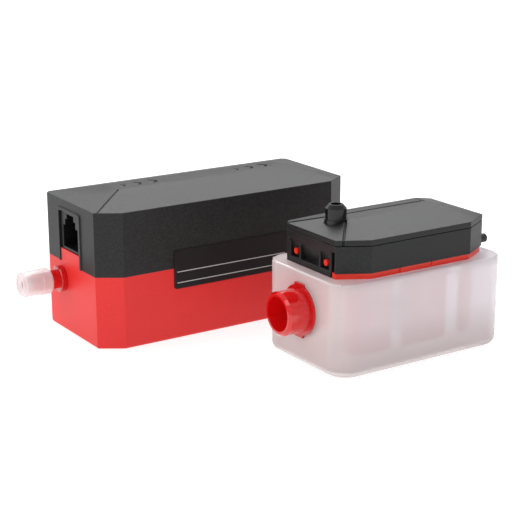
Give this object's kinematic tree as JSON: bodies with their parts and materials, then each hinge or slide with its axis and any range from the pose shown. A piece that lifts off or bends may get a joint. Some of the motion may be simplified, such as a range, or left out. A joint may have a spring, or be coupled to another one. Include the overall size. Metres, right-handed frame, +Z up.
{
  "type": "condensate pump",
  "caption": "Condensate pump in two units: a hip-roofed piston pump with tube fittings, and a float tank with a drain inlet and a lift-out head.",
  "frame": {"origin": "centre of the pump unit's underside, on the surface that both units stand on", "axes": "+X along the pump unit from its suction end to its discharge end, +Y from the tank unit towards the pump unit's back, +Z up"},
  "size_m": [0.1434, 0.114, 0.0554],
  "materials": {
    "red_plastic": "satin moulded",
    "black_plastic": "fine-grained matte",
    "black_gloss": "glossy",
    "label_plate": "satin film",
    "clear_red": "glossy, slightly translucent",
    "milky_plastic": "milky translucent",
    "milky_nut": "milky translucent",
    "clear_tube": "clear flexible",
    "white_plastic": "plain moulded",
    "socket_plastic": "plain moulded",
    "component_plastic": "plain moulded",
    "float_plastic": "closed-cell foam",
    "rubber": "matte",
    "steel": "zinc plated",
    "contact_metal": "plated",
    "copper": "enamelled wire",
    "magnet": "sintered",
    "board": "lacquered laminate"
  },
  "bodies": {
    "pump_unit": {"base_housing": "red_plastic", "lid": "black_plastic", "rating_label": "label_plate", "lid_screws": "steel", "signal_socket": "socket_plastic", "signal_contacts": "contact_metal", "power_socket": "socket_plastic", "power_pins": "contact_metal", "control_board": "board", "board_screws": "steel", "transformer": "component_plastic", "alarm_relay": "component_plastic", "smoothing_capacitor": "component_plastic", "board_fuse": "component_plastic", "inlet_cap": "white_plastic", "pump_barrel": "white_plastic", "outlet_head": "white_plastic", "mount_rings": "rubber", "yoke_frame": "steel", "pole_sleeves": "steel", "coil_bobbin": "white_plastic", "coil_winding": "copper", "piston_seal": "rubber", "seal_washer": "steel", "power_spring": "steel", "buffer_spring": "steel", "delivery_spring": "steel", "suction_fitting": "clear_red", "suction_locknut": "white_plastic", "suction_hose": "rubber", "discharge_fitting": "clear_red", "discharge_locknut": "white_plastic", "discharge_hose": "rubber"},
    "suction_grip": {"suction_ferrule": "white_plastic"},
    "suction_nut": {"suction_nut": "milky_nut"},
    "discharge_grip": {"discharge_ferrule": "white_plastic"},
    "discharge_nut": {"discharge_nut": "milky_nut"},
    "piston": {"armature_piston": "steel"},
    "suction_valve": {"suction_valve": "rubber"},
    "delivery_valve": {"delivery_valve": "rubber"},
    "tank": {"tank_tub": "milky_plastic", "inlet_spigot": "clear_red", "inlet_seal": "rubber", "inlet_ring_nut": "clear_red"},
    "tank_head": {"sensor_tray": "clear_red", "head_frame": "black_plastic", "head_cover": "black_plastic", "head_screws": "steel", "suction_stub": "black_gloss", "dip_tube": "clear_tube", "strainer": "white_plastic", "float_clip": "steel", "sensor_strip": "board", "level_sensors": "component_plastic", "lead_grommet": "rubber"},
    "float": {"float": "float_plastic", "float_magnet": "magnet"}
  },
  "joints": [
    {"name": "suction_nut_travel", "type": "slide", "parent": "pump_unit", "child": "suction_grip", "axis": [-1, 0, 0], "range_m": [0, 0.006]},
    {"name": "suction_nut_turn", "type": "hinge", "parent": "suction_grip", "child": "suction_nut", "pos_m": [-0.0536, 0.01015, 0.02], "axis": [-1, 0, 0], "range_deg": [0, 1440]},
    {"name": "discharge_nut_travel", "type": "slide", "parent": "pump_unit", "child": "discharge_grip", "axis": [1, 0, 0], "range_m": [0, 0.006]},
    {"name": "discharge_nut_turn", "type": "hinge", "parent": "discharge_grip", "child": "discharge_nut", "pos_m": [0.0536, 0.01015, 0.02], "axis": [1, 0, 0], "range_deg": [0, 1440]},
    {"name": "piston_stroke", "type": "slide", "parent": "pump_unit", "child": "piston", "axis": [-1, 0, 0], "range_m": [0, 0.005], "stiffness_N_per_m": 800, "deforming": ["power_spring", "buffer_spring"]},
    {"name": "suction_valve_lift", "type": "slide", "parent": "piston", "child": "suction_valve", "axis": [1, 0, 0], "range_m": [0, 0.0008]},
    {"name": "delivery_valve_lift", "type": "slide", "parent": "pump_unit", "child": "delivery_valve", "axis": [1, 0, 0], "range_m": [0, 0.001], "stiffness_N_per_m": 150, "deforming": ["delivery_spring"]},
    {"name": "tank_apart", "type": "slide", "parent": "pump_unit", "child": "tank", "axis": [0, -1, 0], "range_m": [0, 0.06]},
    {"name": "head_lift", "type": "slide", "parent": "tank", "child": "tank_head", "axis": [0, 0, 1], "range_m": [0, 0.035]},
    {"name": "float_rise", "type": "slide", "parent": "tank_head", "child": "float", "axis": [0, 0, 1], "range_m": [0, 0.014]}
  ],
  "couplings": [
    {"joint": "suction_nut_turn", "follows": "suction_nut_travel", "rad_per_m": 4188.8},
    {"joint": "discharge_nut_turn", "follows": "discharge_nut_travel", "rad_per_m": 4188.8}
  ]
}
